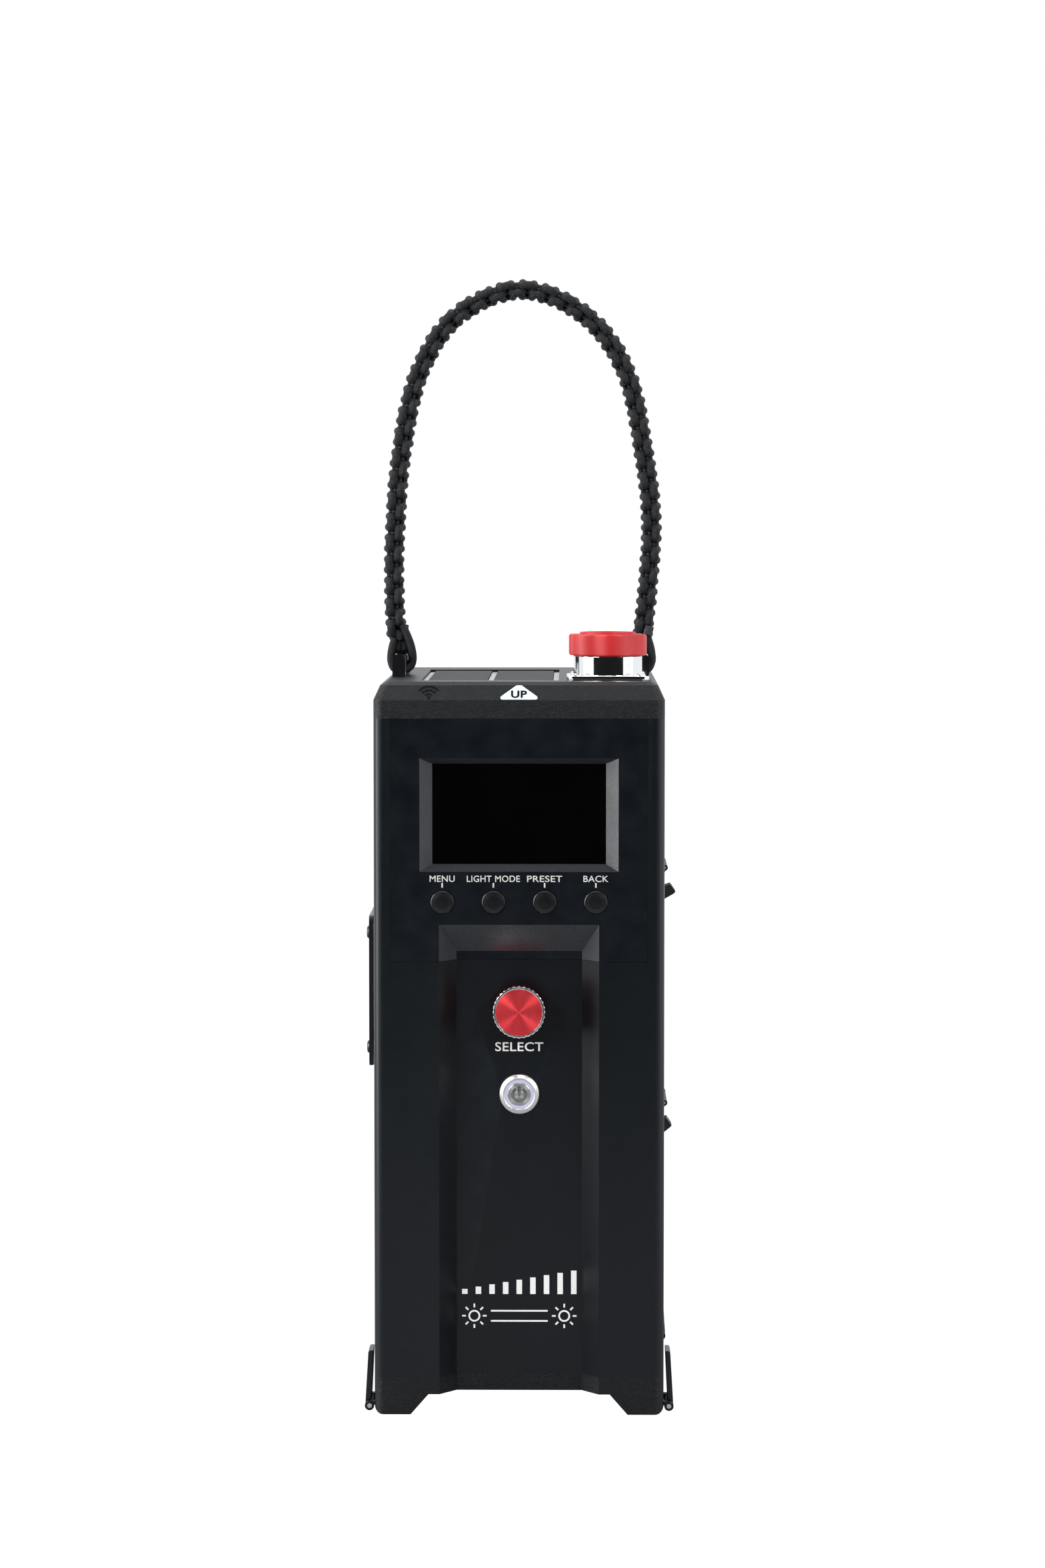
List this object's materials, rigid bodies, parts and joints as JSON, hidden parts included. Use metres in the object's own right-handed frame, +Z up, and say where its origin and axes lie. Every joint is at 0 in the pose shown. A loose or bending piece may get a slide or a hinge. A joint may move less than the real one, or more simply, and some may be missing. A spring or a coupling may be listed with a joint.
{
  "type": "studio light control box",
  "caption": "Upright metal control box of a studio light: screen, buttons, select knob and power switch in front, capped output socket and braided swing handle on top, fold-out feet.",
  "frame": {"origin": "on the ground under the middle of the case", "axes": "+Z up, +X to the right seen from the front, -Y out of the front face"},
  "size_m": [0.1498, 0.2058, 0.5365],
  "materials": {
    "shell_metal": "fine satin powder coat",
    "cap_plastic": "coarse sparkle moulding",
    "panel_plastic": "smooth satin",
    "screen_glass": "polished black window",
    "button_plastic": "satin",
    "chrome": "polished",
    "red_metal": "red anodised, spun face",
    "steel": "brushed",
    "light_ring": "pale translucent",
    "badge": "pale printed label",
    "gloss_black": "gloss",
    "cord": "braided nylon cord",
    "pad_rubber": "matt ribbed",
    "red_rubber": "soft satin red",
    "insulator": "moulded",
    "contact_brass": "bright",
    "black_metal": "semi-gloss black",
    "zinc": "zinc plated",
    "screw_black": "black oxide",
    "port_rubber": "smooth",
    "foot_rubber": "matt",
    "fan_plastic": "moulded",
    "inlet_plastic": "blue moulded",
    "heatsink_metal": "extruded",
    "board_green": "solder mask",
    "board_blue": "solder mask",
    "winding_tape": "tape and core",
    "copper": "enamelled wire",
    "capacitor_sleeve": "shrink sleeve",
    "galvanised": "folded sheet"
  },
  "bodies": {
    "chassis": {"body_shell": "shell_metal", "top_cap": "cap_plastic", "bottom_cap": "cap_plastic", "front_panel": "panel_plastic", "rear_panel": "shell_metal", "screen_glass": "screen_glass", "display_module": "zinc", "button_board": "board_green", "encoder_body": "zinc", "encoder_nut": "zinc", "switch_housing": "chrome", "switch_ring": "light_ring", "switch_nut": "zinc", "arrow_badge": "badge", "handle_lugs": "gloss_black", "lug_screws": "zinc", "handle_loops": "cord", "tray_pads": "pad_rubber", "output_socket": "chrome", "socket_insert": "insulator", "socket_contacts": "contact_brass", "socket_screws": "chrome", "mount_plate": "black_metal", "plate_spacers": "zinc", "plate_screws": "zinc", "cover_pins": "steel", "port_block_upper": "insulator", "port_block_lower": "insulator", "foot_pins": "steel", "rubber_feet": "foot_rubber", "fan_frames": "fan_plastic", "mains_inlet": "inlet_plastic", "heatsink": "heatsink_metal", "power_board": "board_green", "transformer": "winding_tape", "choke": "copper", "capacitors": "capacitor_sleeve", "control_board": "board_blue", "inner_frame": "galvanised", "rear_screws": "screw_black", "antenna_board": "board_green"},
    "menu_button": {"button_menu": "button_plastic"},
    "mode_button": {"button_mode": "button_plastic"},
    "preset_button": {"button_preset": "button_plastic"},
    "back_button": {"button_back": "button_plastic"},
    "select_press": {"encoder_plunger": "insulator"},
    "select_knob": {"encoder_shaft": "steel", "knob_rim": "chrome", "knob_face": "red_metal"},
    "power_switch": {"power_button": "steel"},
    "handle": {"handle_strap": "cord"},
    "cap": {"socket_cap": "red_rubber"},
    "upper_cover": {"port_cover_upper": "port_rubber"},
    "lower_cover": {"port_cover_lower": "port_rubber"},
    "foot_fl": {"corner_foot_front_left": "black_metal"},
    "foot_fr": {"corner_foot_front_right": "black_metal"},
    "foot_rl": {"corner_foot_rear_left": "black_metal"},
    "foot_rr": {"corner_foot_rear_right": "black_metal"},
    "upper_fan": {"fan_rotor_upper": "fan_plastic"},
    "lower_fan": {"fan_rotor_lower": "fan_plastic"}
  },
  "joints": [
    {"name": "menu_press", "type": "slide", "parent": "chassis", "child": "menu_button", "axis": [0, 1, 0], "range_m": [0, 0.0008], "stiffness_N_per_m": 2000, "springref_m": -0.0004},
    {"name": "mode_press", "type": "slide", "parent": "chassis", "child": "mode_button", "axis": [0, 1, 0], "range_m": [0, 0.0008], "stiffness_N_per_m": 2000, "springref_m": -0.0004},
    {"name": "preset_press", "type": "slide", "parent": "chassis", "child": "preset_button", "axis": [0, 1, 0], "range_m": [0, 0.0008], "stiffness_N_per_m": 2000, "springref_m": -0.0004},
    {"name": "back_press", "type": "slide", "parent": "chassis", "child": "back_button", "axis": [0, 1, 0], "range_m": [0, 0.0008], "stiffness_N_per_m": 2000, "springref_m": -0.0004},
    {"name": "select_push", "type": "slide", "parent": "chassis", "child": "select_press", "axis": [0, 1, 0], "range_m": [0, 0.0006], "stiffness_N_per_m": 5000, "springref_m": -0.0003},
    {"name": "select_turn", "type": "hinge", "parent": "select_press", "child": "select_knob", "pos_m": [0, -0.1, 0.1907], "axis": [0, -1, 0], "continuous": true},
    {"name": "power_push", "type": "slide", "parent": "chassis", "child": "power_switch", "axis": [0, 1, 0], "range_m": [0, 0.0011], "stiffness_N_per_m": 3000, "springref_m": -0.00055},
    {"name": "handle_swing", "type": "hinge", "parent": "chassis", "child": "handle", "pos_m": [0, 0, 0.36186], "axis": [-1, 0, 0], "range_deg": [-60, 68]},
    {"name": "cap_lift", "type": "slide", "parent": "chassis", "child": "cap", "axis": [0, 0, 1], "range_m": [0, 0.025]},
    {"name": "upper_cover_open", "type": "hinge", "parent": "chassis", "child": "upper_cover", "pos_m": [0.0696, -0.01, 0.2527], "axis": [0, -1, 0], "range_deg": [0, 110]},
    {"name": "lower_cover_open", "type": "hinge", "parent": "chassis", "child": "lower_cover", "pos_m": [0.0696, -0.01, 0.1384], "axis": [0, -1, 0], "range_deg": [0, 110]},
    {"name": "foot_fl_fold", "type": "hinge", "parent": "chassis", "child": "foot_fl", "pos_m": [-0.0706, -0.084, 0.0034], "axis": [0, -1, 0], "range_deg": [0, 90]},
    {"name": "foot_fr_fold", "type": "hinge", "parent": "chassis", "child": "foot_fr", "pos_m": [0.0706, -0.084, 0.0034], "axis": [0, 1, 0], "range_deg": [0, 90]},
    {"name": "foot_rl_fold", "type": "hinge", "parent": "chassis", "child": "foot_rl", "pos_m": [-0.0706, 0.084, 0.0034], "axis": [0, -1, 0], "range_deg": [0, 90]},
    {"name": "foot_rr_fold", "type": "hinge", "parent": "chassis", "child": "foot_rr", "pos_m": [0.0706, 0.084, 0.0034], "axis": [0, 1, 0], "range_deg": [0, 90]},
    {"name": "upper_fan_spin", "type": "hinge", "parent": "chassis", "child": "upper_fan", "pos_m": [0, 0.078, 0.25], "axis": [0, 1, 0], "continuous": true},
    {"name": "lower_fan_spin", "type": "hinge", "parent": "chassis", "child": "lower_fan", "pos_m": [0, 0.078, 0.16], "axis": [0, 1, 0], "continuous": true}
  ]
}
